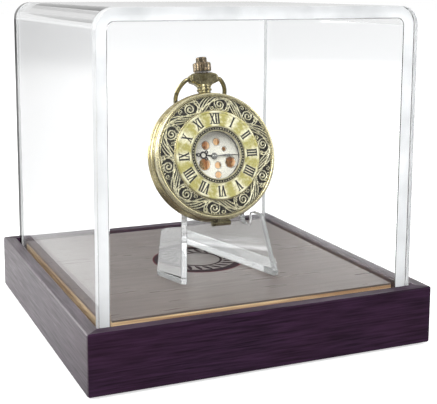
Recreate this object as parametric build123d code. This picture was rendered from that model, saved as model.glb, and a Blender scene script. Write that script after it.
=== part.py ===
from build123d import *
import math
import os

os.makedirs("parts", exist_ok=True)

# Pocket watch display box. Millimetres, +Z up, front at -Y, origin under the base's centre.

# Clearances
slide_gap = 0.1
seat_gap = 0.3
run_gap = 0.05
turn_gap = 0.2

# Wooden base
base_side = 120.0
pad_height = 1.0
wood_height = 19.4
rim_width = 4.6
groove_width = 5.8
groove_depth = 8.0
ledge_overlap = 4.0
board_thickness = 3.0
board_edge = 4.0
rabbet_half = base_side / 2 - board_edge
veneer_thickness = 0.6
edge_round = 0.8
arris = 0.4
pad_side = 12.0

# Acrylic cover
cover_gap = 0.8
cover_side = base_side - 2 * (rim_width + cover_gap)
sheet = 4.0
cover_height = 101.6
bend_radius = 6.5

# Clear stand, drawn about the middle of its two front feet
stand_place = (0.4, -26.2)
stand_turn = 4.0
foot_half = 16.8
wing_angle = 18.0
wing_thickness = 2.0
flange_width = 9.5
flange_height = 2.0
flange_run = 11.0
heel_radius = 6.0

# Watch, drawn about its dial's centre: X right, Y to twelve, Z to the viewer
watch_rise = 39.4
watch_place = (2.2, -5.0, pad_height + wood_height + watch_rise)
watch_turn = 1.5
watch_lean = 16.0
case_radius = 23.2
case_groove_radius = case_radius - 0.45
case_edge_radius = case_radius - 0.6
solder_depth = 0.75
case_root = case_groove_radius - solder_depth
case_front = 2.7
case_rear = -3.6
case_wall = 3.0
bore_radius = case_radius - case_wall
bezel_high = case_front + 1.0
back_depth = -6.6
back_flat_radius = 12.0
back_edge = 0.7
crystal_high = bezel_high - 0.1
crystal_low = crystal_high - 0.6

# Lid with its window
lid_radius = case_radius - 0.7
lid_low = case_front + 0.2
lid_rim_high = 5.2
lid_border = 1.3
lid_scroll_radius = lid_radius - lid_border
lid_plate_high = lid_rim_high + 0.9
lid_wall = 1.0
numeral_outer = 15.6
numeral_inner = 10.25
numeral_high = lid_plate_high + 0.8
tick_high = lid_plate_high + 0.7
window_radius = 8.5
glass_high = lid_plate_high - 0.2
glass_low = glass_high - 0.7
hinge_y = -(case_radius + 0.7)
hinge_z = case_front + 0.1
knuckle_radius = 0.9
pin_radius = 0.4
lid_knuckle_half = 1.4
case_knuckle_end = 3.5
tab_root = -(lid_radius - 0.5)

# Pendant, crown and bow along the line to twelve
stem_z = -0.4
neck_radius = 2.3
ear_half = 5.4
pendant_top = case_radius + 7.5
ear_y = pendant_top - 2.3
pendant_half_depth = 1.9
pendant_bore = 1.25
sleeve_radius = 1.2
stem_radius = 0.7
stem_end = bore_radius - 3.7
wall_hole = 0.95
crown_base = pendant_top + 0.4
crown_radius = 3.3
crown_step = crown_base + 3.3
crown_top = crown_step + 2.0
crown_tip_radius = 2.0
wire_radius = 0.8
bow_radius = 9.5
wire_sides = 6
bow_rest = 140.0

# Movement levels along the watch's Z
plate_low = -0.3
plate_high = 1.5
dial_high = plate_high + 0.4
bridge_high = plate_low - 2.45
bridge_low = bridge_high - 0.75
arbor_low = bridge_high + run_gap
arbor_high = plate_low - run_gap
centre_arbor = 0.5
pinion_radius = 0.9
balance_low = -2.5
balance_top = -2.0
arbor_sides = 8
pipe_radius = 0.9
hand_thickness = 0.25
hour_reach = 8.2
minute_reach = 16.0
hour_low = dial_high + 0.35
minute_low = hour_low + hand_thickness + 0.15

# Train: where each arbor stands
barrel_at = (-6.96, -4.88)
third_at = (6.25, 2.27)
fourth_at = (7.63, -2.90)
escape_at = (5.97, -7.46)
balance_at = (3.0, -13.6)
lever_at = (4.27, -10.97)
pillars_at = [(-15.6, -3.0), (13.3, 4.6), (13.3, -5.5), (-6.0, 6.8)]
cock_foot_at = (-4.6, -16.2)
pillar_radius = 1.2
cock_width = 3.4
centre_radius = 5.7
barrel_radius = 7.4
third_radius = 4.5
fourth_radius = 4.1
escape_radius = 2.9
balance_radius = 5.0
bridge_outline = [
    (-17.0, -6.0),
    (-10.0, -12.0),
    (-2.0, -8.4),
    (8.5, -9.6),
    (14.8, -7.2),
    (14.8, 6.2),
    (-6.0, 8.6),
    (-17.0, 0.0),
]

# Dial openings: centre x, centre y, radius
dial_openings = [
    (-2.7, 4.0, 1.5),
    (1.5, 5.1, 1.3),
    (4.2, 2.4, 0.8),
    (-3.7, -2.7, 2.1),
    (1.3, -3.3, 1.2),
    (6.2, -2.5, 2.0),
    (1.1, -6.7, 1.2),
]
opening_sides = [10, 8, 6, 10, 8, 8, 8]
plate_opening_reach = 7.8
plate_opening_edge = 2.0

half = base_side / 2
base_top = pad_height + wood_height
board_top = pad_height + board_thickness
groove_floor = base_top - groove_depth
groove_half = half - rim_width
platform_half = groove_half - groove_width
cavity_half = platform_half - ledge_overlap
cover_half = cover_side / 2
cover_low = groove_floor + slide_gap
cover_inner = cover_half - sheet


def disc(radius, low, high, x=0.0, y=0.0):
    return Pos(x, y, (low + high) / 2) * Cylinder(radius, high - low)


def block(low, high):
    size = [b - a for a, b in zip(low, high)]
    middle = [(a + b) / 2 for a, b in zip(low, high)]
    return Pos(*middle) * Box(*size)


def slab(half_side, low, high):
    return block((-half_side, -half_side, low), (half_side, half_side, high))


def turned(points):
    outline = Polyline([(r, 0, z) for r, z in points], close=True)
    return revolve(make_face(outline), Axis.Z)


def prism(outline, low, high):
    face = make_face(outline)
    return Pos(0, 0, low) * extrude(face, high - low, dir=(0, 0, 1))


def across(radius, left, right, y, z):
    return Pos((left + right) / 2, y, z) * Rot(0, 90, 0) * Cylinder(radius, right - left)


def along(radius, low, high, z=stem_z):
    return Pos(0, (low + high) / 2, z) * Rot(90, 0, 0) * Cylinder(radius, high - low)


def bar(start, end, width, low, high):
    run = math.dist(start, end)
    angle = math.degrees(math.atan2(end[1] - start[1], end[0] - start[0]))
    middle = ((start[0] + end[0]) / 2, (start[1] + end[1]) / 2)
    strip = Pos(middle[0], middle[1], (low + high) / 2) * Rot(0, 0, angle) * Box(run, width, high - low)
    return strip


def arm(start, end, width, low, high):
    ends = disc(width / 2, low, high, *start) + disc(width / 2, low, high, *end)
    return ends + bar(start, end, width, low, high)


# Base: four mitred rails round a veneered platform, closed underneath by a board
frame = slab(half, pad_height, base_top)
frame = fillet(frame.edges().filter_by(Axis.Z), edge_round)
frame = chamfer(frame.faces().sort_by(Axis.Z)[0].edges(), edge_round / 2)
frame -= slab(groove_half, groove_floor, base_top)
frame = chamfer(frame.faces().sort_by(Axis.Z)[-1].edges(), arris)
frame -= slab(cavity_half, board_top, base_top)
frame -= slab(rabbet_half, pad_height, board_top)
base_bottom = slab(rabbet_half, pad_height, board_top)


def mitred(turn):
    reach = half + 10
    wedge = Polyline((0, 0), (-reach, -reach), (reach, -reach), close=True)
    return frame & (Rot(0, 0, turn) * prism(wedge, 0, base_top + 1))


platform_core = slab(platform_half, groove_floor, base_top - veneer_thickness)
platform_veneer = slab(platform_half, base_top - veneer_thickness, base_top)
pad_place = rabbet_half - pad_side / 2
pads = []
for x, y in [(-1, -1), (1, -1), (-1, 1), (1, 1)]:
    pad = Box(pad_side, pad_side, pad_height, align=(Align.CENTER, Align.CENTER, Align.MIN))
    pads.append(Pos(x * pad_place, y * pad_place, 0) * pad)
bumper_feet = Compound(pads)

# Cover: one sheet bent over the top, closed by a flat panel in front and behind
cover_top = cover_low + cover_height


def cover_block(inset, low):
    side = cover_half - inset
    solid = block((-side, -cover_half, low), (side, cover_half, cover_top - inset))
    edges = solid.edges().filter_by(Axis.Y).sort_by(Axis.Z)[-2:]
    return fillet(edges, bend_radius - inset)


cover_outer = cover_block(0, cover_low)
cover_hollow = cover_block(sheet, cover_low)
middle_zone = block((-half, -cover_inner, 0), (half, cover_inner, cover_top + 1))
front_zone = block((-half, -cover_half, 0), (half, -cover_inner, cover_top + 1))
back_zone = block((-half, cover_inner, 0), (half, cover_half, cover_top + 1))
cover_bend = (cover_outer - cover_hollow) & middle_zone
cover_front = cover_outer & front_zone
cover_back = cover_outer & back_zone

# Watch: every piece is drawn about the dial's centre, then set leaning on the stand
turn_rad = math.radians(watch_turn)
lean_rad = math.radians(watch_lean)
watch_plane = Plane(
    origin=watch_place,
    x_dir=(math.cos(turn_rad), -math.sin(turn_rad), 0),
    z_dir=(
        -math.sin(turn_rad) * math.cos(lean_rad),
        -math.cos(turn_rad) * math.cos(lean_rad),
        math.sin(lean_rad),
    ),
)


def in_watch(shape):
    return watch_plane.location * shape


case_outline = [
    (bore_radius, case_rear),
    (bore_radius, bezel_high),
    (bore_radius + 0.7, case_front),
    (case_edge_radius, case_front),
    (case_radius, 1.3),
    (case_groove_radius, -0.45),
    (case_radius, -2.2),
    (case_edge_radius, case_rear),
]
case_middle = turned(case_outline)
knuckle_low = (-case_knuckle_end, hinge_y, hinge_z - knuckle_radius)
knuckle_block = block(knuckle_low, (case_knuckle_end, -case_root, case_front))
case_knuckles = across(knuckle_radius, -case_knuckle_end, case_knuckle_end, hinge_y, hinge_z)
case_knuckles += knuckle_block - disc(case_groove_radius, -6, 6)
case_middle += case_knuckles
case_middle -= across(
    knuckle_radius + turn_gap,
    -lid_knuckle_half - turn_gap,
    lid_knuckle_half + turn_gap,
    hinge_y,
    hinge_z,
)
case_middle -= across(pin_radius, -case_knuckle_end, case_knuckle_end, hinge_y, hinge_z)
case_middle -= along(wall_hole, bore_radius - 1, case_radius + 1)
hinge_pin = across(pin_radius, -case_knuckle_end, case_knuckle_end, hinge_y, hinge_z)

back_outline = [
    (0, back_depth),
    (back_flat_radius, back_depth),
    (case_edge_radius, case_rear - back_edge),
    (case_edge_radius, case_rear),
    (0, case_rear),
]
case_back = turned(back_outline)
crystal = disc(bore_radius, crystal_low, crystal_high)

# Lid: a dished ring on a hinge at six, with raised numeral ring, minute ring and small window
lid = turned([
    (lid_radius, lid_low),
    (lid_radius, lid_rim_high),
    (lid_scroll_radius, lid_rim_high),
    (numeral_outer, lid_plate_high),
    (window_radius, lid_plate_high),
    (window_radius, lid_rim_high - lid_wall),
    (lid_scroll_radius, lid_rim_high - lid_wall),
    (lid_radius - 0.6, lid_low),
])
tab_low = (-lid_knuckle_half, hinge_y, hinge_z + 0.1)
lid_tab = block(tab_low, (lid_knuckle_half, tab_root, hinge_z + knuckle_radius))
lid += across(knuckle_radius, -lid_knuckle_half, lid_knuckle_half, hinge_y, hinge_z) + lid_tab
lid -= across(pin_radius + run_gap, -lid_knuckle_half, lid_knuckle_half, hinge_y, hinge_z)
lid_numeral_ring = disc(numeral_outer, lid_plate_high, numeral_high)
lid_numeral_ring -= disc(numeral_inner, lid_plate_high, numeral_high)
lid_tick_ring = disc(numeral_inner, lid_plate_high, tick_high)
lid_tick_ring -= disc(window_radius, lid_plate_high, tick_high)
lid_glass = disc(window_radius, glass_low, glass_high)

# Pendant with two ears, the crown on its stem and the bow
bow_end = ear_half + slide_gap + wire_radius
bow_pin_end = ear_half - 1.3
ear_outline = [
    (neck_radius, ear_y - 2.8),
    (3.4, ear_y - 1.9),
    (ear_half, ear_y - 1.2),
    (ear_half, ear_y + 1.2),
    (4.5, pendant_top - 0.4),
    (2.8, pendant_top),
]
pendant_outline = ear_outline + [(-x, y) for x, y in reversed(ear_outline)]
pendant_low = stem_z - pendant_half_depth
pendant_high = stem_z + pendant_half_depth
pendant = prism(Polyline(pendant_outline, close=True), pendant_low, pendant_high)
pendant = chamfer(pendant.faces().filter_by(Axis.Z).edges(), 0.6)
pendant += along(neck_radius, case_root, ear_y - 2.2)
case_envelope = turned([(0, case_rear)] + case_outline[:2:-1] + [(0, case_front)])
pendant -= case_envelope
pendant -= along(pendant_bore, case_root, pendant_top)
for side in (-1, 1):
    hole_ends = sorted((side * (bow_pin_end - turn_gap), side * (ear_half + 1)))
    pendant -= across(wire_radius + run_gap, hole_ends[0], hole_ends[1], ear_y, stem_z)

sleeve_low = case_radius + 1.0
sleeve_high = pendant_top - 0.5
stem_sleeve = along(sleeve_radius, sleeve_low, sleeve_high)
stem_sleeve -= along(stem_radius + run_gap, sleeve_low, sleeve_high)
winding_stem = along(stem_radius, stem_end, crown_base)
crown_outline = Polyline(
    (0, crown_base),
    (crown_radius - 0.8, crown_base),
    (crown_radius, crown_base + 1.3),
    (crown_radius, crown_step),
    (crown_tip_radius, crown_step),
    (crown_tip_radius, crown_top),
    (0, crown_top),
    close=True,
)
crown = Pos(0, 0, stem_z) * revolve(make_face(crown_outline), Axis.Y)

bow_rise = math.sqrt(bow_radius**2 - bow_end**2)
bow_path = Wire([
    Line((-bow_pin_end, 0, 0), (-bow_end, 0, 0)),
    ThreePointArc((-bow_end, 0, 0), (0, bow_rise + bow_radius, 0), (bow_end, 0, 0)),
    Line((bow_end, 0, 0), (bow_pin_end, 0, 0)),
])
bow_section = Plane(origin=bow_path @ 0, z_dir=bow_path % 0) * RegularPolygon(wire_radius, wire_sides)
bow = sweep(bow_section, path=bow_path, transition=Transition.RIGHT)
bow = Pos(0, ear_y, stem_z) * Rot(-bow_rest, 0, 0) * bow

# Movement: plates and dial
def bored(x, y, radius, low, high, sides):
    return Pos(x, y, low) * extrude(RegularPolygon(radius, sides), high - low, dir=(0, 0, 1))


main_plate = disc(bore_radius, plate_low, plate_high)
main_plate -= bored(0, 0, centre_arbor + run_gap, plate_low, plate_high, arbor_sides)
main_plate -= along(stem_radius + turn_gap, stem_end - 1, bore_radius)
for side in (-1, 1):
    reach = side * plate_opening_reach
    edge = side * plate_opening_edge
    opening = Polyline((edge, -5.0), (reach, -4.0), (reach, 3.0), (edge, 6.0), close=True)
    main_plate -= prism(opening, plate_low, plate_high)
dial = disc(bore_radius, plate_high, dial_high)
dial -= disc(pipe_radius + run_gap, plate_high, dial_high)
for (x, y, radius), sides in zip(dial_openings, opening_sides):
    dial -= bored(x, y, radius, plate_high, dial_high, sides)

bridge_face = Polyline(bridge_outline, close=True)
train_bridge = prism(bridge_face, bridge_low, bridge_high)
for x, y in pillars_at:
    train_bridge += disc(pillar_radius, bridge_high, plate_low, x, y)
balance_cock = bar(cock_foot_at, balance_at, cock_width, bridge_low, bridge_high)
balance_cock += disc(pillar_radius, bridge_high, plate_low, *cock_foot_at)
balance_cock += disc(cock_width / 2, bridge_low, bridge_high, *balance_at)


# Wheels: toothed rims on crossings, each with a plain staff
def staff(radius, low, high):
    return Pos(0, 0, low) * extrude(RegularPolygon(radius, arbor_sides), high - low, dir=(0, 0, 1))


def toothed(radius, teeth, depth, low, high):
    points = []
    for k in range(2 * teeth):
        reach = radius - depth * (k % 2)
        turn = math.pi * k / teeth
        points.append((reach * math.cos(turn), reach * math.sin(turn)))
    return prism(Polyline(points, close=True), low, high)


def crossing(inner, outer, spokes, width, low, high):
    spread = math.pi / spokes
    inner_half = spread - math.asin(width / 2 / inner)
    outer_half = spread - math.asin(width / 2 / outer)
    corners = [(inner, -inner_half), (outer, -outer_half), (outer, -outer_half / 3)]
    corners += [(outer, outer_half / 3), (outer, outer_half), (inner, inner_half)]
    points = [(r * math.cos(a), r * math.sin(a)) for r, a in corners]
    return prism(Polyline(points, close=True), low, high)


def wheel(radius, teeth, depth, rim, hub, spokes, width, low, high):
    body = toothed(radius, teeth, depth, low, high)
    window = crossing(hub, radius - depth - rim, spokes, width, low, high)
    for k in range(spokes):
        body -= Rot(0, 0, 360 / spokes * k) * window
    return body


centre_wheel = wheel(centre_radius, 56, 0.35, 0.6, 1.1, 5, 0.6, -1.0, -0.7)
centre_wheel += staff(pinion_radius, arbor_low, -1.0)
centre_wheel += staff(centre_arbor, -0.7, minute_low - run_gap)
barrel = toothed(barrel_radius, 66, 0.35, -1.7, -1.3) + disc(barrel_radius - 0.5, -2.6, -1.7)
barrel += staff(pinion_radius, arbor_low, arbor_high)
barrel = Pos(*barrel_at, 0) * barrel
third_wheel = wheel(third_radius, 45, 0.3, 0.5, 0.9, 4, 0.5, -1.7, -1.4)
third_wheel += staff(0.5, arbor_low, arbor_high)
third_wheel = Pos(*third_at, 0) * third_wheel
fourth_wheel = wheel(fourth_radius, 42, 0.3, 0.5, 0.8, 4, 0.5, -2.5, -2.2)
fourth_wheel += staff(0.5, arbor_low, arbor_high)
fourth_wheel = Pos(*fourth_at, 0) * fourth_wheel
escape_wheel = wheel(escape_radius, 15, 0.5, 0.4, 0.7, 4, 0.4, -1.6, -1.3)
escape_wheel += staff(0.4, arbor_low, arbor_high)
escape_wheel = Pos(*escape_at, 0) * escape_wheel
balance_wheel = disc(balance_radius, balance_low, balance_top)
balance_wheel -= disc(balance_radius - 0.7, balance_low, balance_top)
arm_reach = balance_radius - 0.5
balance_wheel += bar((-arm_reach, 0), (arm_reach, 0), 0.7, balance_low, balance_top)
balance_wheel += staff(0.4, arbor_low, arbor_high)
balance_wheel = Pos(*balance_at, 0) * balance_wheel

lever_turn = math.degrees(math.atan2(balance_at[1] - lever_at[1], balance_at[0] - lever_at[0]))
pallet_lever = staff(0.35, balance_top + turn_gap / 2, arbor_high)
pallet_lever += bar((0, 0), (1.9, 0), 0.5, -1.6, -1.3)
pallet_lever += bar((-0.2, -2.1), (-0.2, 2.1), 0.6, -1.6, -1.3)
pallet_lever = Pos(*lever_at, 0) * Rot(0, 0, lever_turn) * pallet_lever

# Hands, drawn towards twelve and turned to a quarter past nine
hour_top = hour_low + hand_thickness
hour_hand = disc(pipe_radius, plate_high + run_gap, hour_top)
hour_eye = hour_reach / 2
hour_neck = hour_reach - 3.0
hour_hand += disc(1.5, hour_low, hour_top, 0, hour_eye)
hour_hand += bar((0, 0.6), (0, hour_eye - 1.3), 0.6, hour_low, hour_top)
hour_tip = Polyline((-0.7, hour_neck), (0.7, hour_neck), (0, hour_reach), close=True)
hour_hand += prism(hour_tip, hour_low, hour_top)
hour_hand -= disc(0.95, hour_low, hour_top, 0, hour_eye)
hour_hand -= bored(0, 0, centre_arbor + run_gap, plate_high, hour_top, arbor_sides)
hour_hand = Rot(0, 0, -277.5) * hour_hand
minute_top = minute_low + hand_thickness
minute_belly = minute_reach - 10.5
minute_outline = Polyline(
    (-0.35, 0.3),
    (-0.55, minute_belly),
    (0, minute_reach),
    (0.55, minute_belly),
    (0.35, 0.3),
    close=True,
)
minute_hand = disc(1.1, minute_low, minute_top) + prism(minute_outline, minute_low, minute_top)
minute_hand = Rot(0, 0, -90) * minute_hand

# Stand: two upright wings meeting at a rear spine, on outward foot flanges
wing_run = foot_half / math.sin(math.radians(wing_angle))
wing_sin = math.sin(math.radians(wing_angle))
wing_cos = math.cos(math.radians(wing_angle))
wing_points = [
    (0, 0),
    (7.8, 20.3),
    (13.5, 20.6),
    (14.0, 15.2),
    (17.8, 15.2),
    (19.4, 21.0),
    (26.0, 47.2),
    (37.5, 47.2),
    (wing_run, 24.0),
    (wing_run, 0),
]
wing_radii = [0, 2.0, 1.2, 1.0, 1.0, 0, 0, 4.0, 0, 0]


def flange_point(run, offset, side):
    x = foot_half - run * wing_sin + offset * wing_cos
    y = run * wing_cos + offset * wing_sin
    return (side * x, y)


half_thick = wing_thickness / 2
inner_apex = (foot_half - half_thick * wing_cos) / wing_sin * wing_cos - half_thick * wing_sin
heel_apex = flange_point(0, flange_width, 1)
heel_y = heel_apex[1] + heel_apex[0] / wing_sin * wing_cos
stand_outline = [
    flange_point(0, -half_thick, 1),
    flange_point(0, half_thick, 1),
    flange_point(flange_run, flange_width, 1),
    (0, heel_y),
    flange_point(flange_run, flange_width, -1),
    flange_point(0, half_thick, -1),
    flange_point(0, -half_thick, -1),
    (0, inner_apex),
]
stand_radii = [0, 0, 2.0, heel_radius, 2.0, 0, 0, 0]
watch_stand = prism(FilletPolyline(*stand_outline, radius=stand_radii, close=True), 0, flange_height)
for side in (-1, 1):
    wing_face = make_face(FilletPolyline(*wing_points, radius=wing_radii, close=True))
    wing = Rot(90, 0, 0) * Pos(0, 0, -half_thick) * extrude(wing_face, wing_thickness, dir=(0, 0, 1))
    watch_stand += Pos(side * foot_half, 0, 0) * Rot(0, 0, 90 + side * wing_angle) * wing
stand_floor = base_top + slide_gap
watch_stand = Pos(*stand_place, stand_floor) * Rot(0, 0, -stand_turn) * watch_stand
seat_space = turned([
    (0, back_depth - seat_gap),
    (back_flat_radius, back_depth - seat_gap),
    (case_radius + seat_gap, case_rear - back_edge - seat_gap),
    (case_radius + seat_gap, lid_low),
    (lid_radius + seat_gap, lid_rim_high + seat_gap),
    (0, lid_rim_high + seat_gap),
])
watch_stand -= in_watch(seat_space)

nodes = {
    "base_rail_front": mitred(0),
    "base_rail_right": mitred(90),
    "base_rail_back": mitred(180),
    "base_rail_left": mitred(270),
    "platform_core": platform_core,
    "platform_veneer": platform_veneer,
    "base_bottom": base_bottom,
    "bumper_feet": bumper_feet,
    "cover_bend": cover_bend,
    "cover_front": cover_front,
    "cover_back": cover_back,
    "watch_stand": watch_stand,
    "case_middle": in_watch(case_middle),
    "case_back": in_watch(case_back),
    "crystal": in_watch(crystal),
    "pendant": in_watch(pendant),
    "hinge_pin": in_watch(hinge_pin),
    "dial": in_watch(dial),
    "main_plate": in_watch(main_plate),
    "train_bridge": in_watch(train_bridge),
    "balance_cock": in_watch(balance_cock),
    "barrel": in_watch(barrel),
    "centre_wheel": in_watch(centre_wheel),
    "third_wheel": in_watch(third_wheel),
    "fourth_wheel": in_watch(fourth_wheel),
    "escape_wheel": in_watch(escape_wheel),
    "pallet_lever": in_watch(pallet_lever),
    "balance_wheel": in_watch(balance_wheel),
    "hour_hand": in_watch(hour_hand),
    "minute_hand": in_watch(minute_hand),
    "lid": in_watch(lid),
    "lid_numeral_ring": in_watch(lid_numeral_ring),
    "lid_tick_ring": in_watch(lid_tick_ring),
    "lid_glass": in_watch(lid_glass),
    "stem_sleeve": in_watch(stem_sleeve),
    "winding_stem": in_watch(winding_stem),
    "crown": in_watch(crown),
    "bow": in_watch(bow),
}
for node, shape in nodes.items():
    export_step(shape, f"parts/{node}.step")
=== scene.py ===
# %% [markdown]
# # Pocket watch display box
# A dark wooden base carries a clear cover, and under it a half-hunter pocket watch leans on a
# clear easel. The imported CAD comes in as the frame: every solid, body and joint is in place.
# This script adds the looks in the same frame: metres, +Z up, the front towards -Y.
# A solid that is right as it is keeps its mesh and gets a material. A piece that needs finer
# form is built here, rides on the same body and stands for its solid.

import math
import random

import bmesh
import bpy
from mathutils import Matrix, Vector


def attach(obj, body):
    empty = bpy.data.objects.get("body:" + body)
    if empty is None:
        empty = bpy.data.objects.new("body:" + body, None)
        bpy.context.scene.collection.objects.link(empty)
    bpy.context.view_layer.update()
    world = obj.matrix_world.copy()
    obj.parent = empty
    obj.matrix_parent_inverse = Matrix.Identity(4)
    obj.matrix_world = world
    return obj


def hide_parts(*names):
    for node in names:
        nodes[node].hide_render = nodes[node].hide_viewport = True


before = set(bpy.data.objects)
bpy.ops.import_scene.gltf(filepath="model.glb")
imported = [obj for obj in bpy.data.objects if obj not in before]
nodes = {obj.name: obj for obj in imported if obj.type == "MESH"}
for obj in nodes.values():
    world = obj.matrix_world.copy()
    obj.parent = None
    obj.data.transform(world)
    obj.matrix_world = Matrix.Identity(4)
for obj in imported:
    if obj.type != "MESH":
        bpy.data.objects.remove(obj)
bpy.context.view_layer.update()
print("CAD nodes:", len(nodes))

# %% [markdown]
# ## Two drawing frames
# A watchmaker draws a watch flat, in millimetres, with the dial's centre in the middle.
# Each piece could be drawn like that and its object moved, but a finished object has to sit
# at the origin. So every point goes through a matrix, which does both jobs at once.
# `BOX` turns millimetres of the whole object into metres. `WATCH` does the same for the watch,
# which is turned 1.5 degrees and leans back 16: X is right, Y is twelve and Z faces out.

# %% Matrices
MM = 0.001
WATCH_TURN = math.radians(1.5)
WATCH_LEAN = math.radians(16.0)
DIAL_CENTRE = Vector((2.2, -5.0, 59.8)) * MM

watch_x = Vector((math.cos(WATCH_TURN), -math.sin(WATCH_TURN), 0))
watch_z = Vector((
    -math.sin(WATCH_TURN) * math.cos(WATCH_LEAN),
    -math.cos(WATCH_TURN) * math.cos(WATCH_LEAN),
    math.sin(WATCH_LEAN),
))
watch_y = watch_z.cross(watch_x)
watch_axes = Matrix((watch_x, watch_y, watch_z)).transposed().to_4x4()
BOX = Matrix.Scale(MM, 4)
WATCH = Matrix.Translation(DIAL_CENTRE) @ watch_axes @ BOX
print("dial centre in metres:", [round(v, 4) for v in DIAL_CENTRE])

# %% [markdown]
# ## Mesh helpers
# Nearly every part of a watch is turned on a lathe or sawn from sheet. Modifiers such as Screw
# and Solidify could do that, one object at a time. Plain lists of points and faces are used
# here, because several shapes then join into one mesh and any matrix can place them.
# `make` turns the lists into an object at the origin. Its faces point outwards, and edges
# sharper than `angle` degrees stay crisp.

# %% Object from points and faces
MERGE_DISTANCE = 2e-7
SHORTEST_EDGE = 1e-7


def finish_mesh(mesh, angle):
    work = bmesh.new()
    work.from_mesh(mesh)
    bmesh.ops.remove_doubles(work, verts=work.verts, dist=MERGE_DISTANCE)
    bmesh.ops.dissolve_degenerate(work, edges=work.edges, dist=SHORTEST_EDGE)
    bmesh.ops.recalc_face_normals(work, faces=work.faces)
    work.to_mesh(mesh)
    work.free()
    mesh.polygons.foreach_set("use_smooth", [True] * len(mesh.polygons))
    mesh.set_sharp_from_angle(angle=math.radians(angle))
    mesh.update()


def make(name, shapes, place=WATCH, angle=35):
    verts, faces = [], []
    for points, polygons in shapes:
        first = len(verts)
        verts += [place @ Vector(p) for p in points]
        faces += [tuple(first + i for i in f) for f in polygons]
    mesh = bpy.data.meshes.new(name)
    mesh.from_pydata(verts, [], faces)
    finish_mesh(mesh, angle)
    piece = bpy.data.objects.new(name, mesh)
    bpy.context.scene.collection.objects.link(piece)
    return piece


# %% [markdown]
# A skin is rows of points with quads between them: `skin` lists the quads, and `caps` closes
# the two ends. `eased` rounds the corners of a profile, as a turner breaks a sharp edge, and
# `lathe` spins the profile about the watch's Z axis, or about the winding stem along Y.

# %% Turned shapes
STEM_Z = -0.4
LARGEST_CUT = 0.45


def skin(rows, count, closed=False):
    faces = []
    for i in range(rows if closed else rows - 1):
        j = (i + 1) % rows
        for k in range(count):
            m = (k + 1) % count
            faces.append((i * count + k, i * count + m, j * count + m, j * count + k))
    return faces


def caps(rows, count):
    return [tuple(reversed(range(count))), tuple(range((rows - 1) * count, rows * count))]


def eased(points, ease, steps=3):
    out = []
    for i, here in enumerate(points):
        before = Vector(points[i - 1])
        corner = Vector(here)
        after = Vector(points[(i + 1) % len(points)])
        shorter = min((before - corner).length, (after - corner).length)
        cut = min(ease, shorter * LARGEST_CUT)
        start = corner + (before - corner).normalized() * cut
        end = corner + (after - corner).normalized() * cut
        for k in range(steps + 1):
            t = k / steps
            out.append(tuple((1 - t) ** 2 * start + 2 * t * (1 - t) * corner + t * t * end))
    return out


def lathe(profile, steps, axis="Z"):
    points = []
    for k in range(steps):
        a = 2 * math.pi * k / steps
        for r, h in profile:
            if axis == "Z":
                points.append((r * math.cos(a), r * math.sin(a), h))
            else:
                points.append((r * math.cos(a), h, r * math.sin(a) + STEM_Z))
    return points, skin(steps, len(profile), closed=True)


# %% [markdown]
# Sheet parts are outlines with a thickness. `rotated` swings a flat outline about the dial's
# centre, which is how hands and numerals are set out.

# %% Sawn shapes
def circle(radius, steps, x=0.0, y=0.0):
    angles = [2 * math.pi * k / steps for k in range(steps)]
    return [(x + radius * math.cos(a), y + radius * math.sin(a)) for a in angles]


def rotated(outline, angle):
    c, s = math.cos(angle), math.sin(angle)
    return [(x * c - y * s, x * s + y * c) for x, y in outline]


def prism(outline, low, high):
    count = len(outline)
    points = [(x, y, low) for x, y in outline] + [(x, y, high) for x, y in outline]
    return points, skin(2, count) + caps(2, count)


def cuboid(low, high):
    outline = [(low[0], low[1]), (high[0], low[1]), (high[0], high[1]), (low[0], high[1])]
    return prism(outline, low[2], high[2])


# %% [markdown]
# Wire and chased lines follow a path. A curve object with a bevel could make them too, but
# then its ends and its section are the curve's own. `tube` sweeps a round section, and
# `stroke` lays a low rounded strip on a surface, narrowing to a point at its ends as a
# graver's cut does.

# %% Swept shapes
STROKE_SECTION = [(-1, -0.25), (-0.85, 0.55), (0, 1), (0.85, 0.55), (1, -0.25)]
STROKE_TAPER = 0.18
STROKE_TIP = 0.25


def tube(path, radius, sides, closed=False):
    points = []
    count = len(path)
    up = Vector((0, 0, 1))
    for i, here in enumerate(path):
        here = Vector(here)
        ahead = Vector(path[(i + 1) % count]) if closed or i < count - 1 else here
        behind = Vector(path[i - 1]) if closed or i > 0 else here
        along = (ahead - behind).normalized()
        side = along.cross(up)
        side = side.normalized() if side.length > 1e-6 else Vector((1, 0, 0))
        rise = side.cross(along).normalized()
        for k in range(sides):
            a = 2 * math.pi * k / sides
            out = side * (radius * math.cos(a)) + rise * (radius * math.sin(a))
            points.append(tuple(here + out))
    faces = skin(count, sides, closed)
    return points, faces if closed else faces + caps(count, sides)


def stroke(path, width, height, floor_at):
    points = []
    count = len(path)
    for i in range(count):
        x, y = path[i]
        ax, ay = path[min(i + 1, count - 1)]
        bx, by = path[max(i - 1, 0)]
        length = math.hypot(ax - bx, ay - by) or 1
        nx, ny = -(ay - by) / length, (ax - bx) / length
        t = i / (count - 1)
        swell = min(1, STROKE_TIP + (1 - STROKE_TIP) * min(t, 1 - t) / STROKE_TAPER)
        for s, h in STROKE_SECTION:
            px, py = x + nx * s * width / 2 * swell, y + ny * s * width / 2 * swell
            points.append((px, py, floor_at(px, py) + height * h * swell))
    sides = len(STROKE_SECTION)
    return points, skin(count, sides) + caps(count, sides)


# %% [markdown]
# ## Copies of CAD solids
# Moulded, cast and stamped parts have small radii that the CAD leaves sharp. The CAD object
# itself is never touched, so a copy is merged into a clean mesh first. `bevelled` then rounds
# its edges with the Bevel modifier, and `softened` remeshes it in voxels and smooths it, which
# suits a casting whose faces flow into each other.

# %% Copy a solid
COPY_MERGE = 1e-6


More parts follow.
